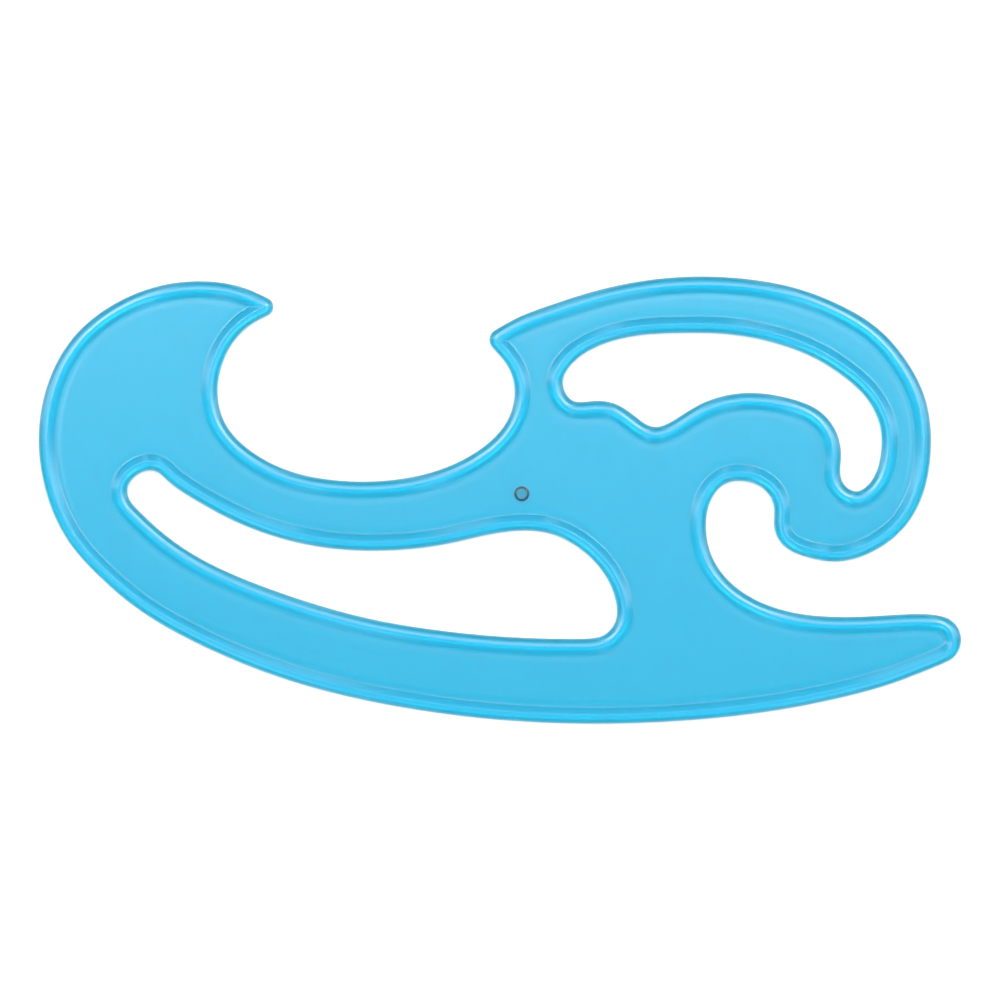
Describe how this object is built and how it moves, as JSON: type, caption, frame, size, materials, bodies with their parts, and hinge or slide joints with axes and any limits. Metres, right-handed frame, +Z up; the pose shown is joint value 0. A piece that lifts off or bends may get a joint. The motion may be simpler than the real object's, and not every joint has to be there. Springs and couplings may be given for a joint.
{
  "type": "french curve",
  "caption": "One-piece moulded drawing template with freely curved outer and inner edges, a raised round bead along every edge and a flat drawing face.",
  "frame": {"origin": "middle of the bounding box on the flat drawing face", "axes": "+X along the length towards the tail, +Y from the belly to the back, +Z up from the drawing face towards the beaded side"},
  "size_m": [0.25, 0.1212, 0.0022],
  "materials": {
    "tinted_polystyrene": "glossy moulded translucent light blue"
  },
  "bodies": {
    "root": {"curve_template": "tinted_polystyrene"}
  },
  "joints": []
}
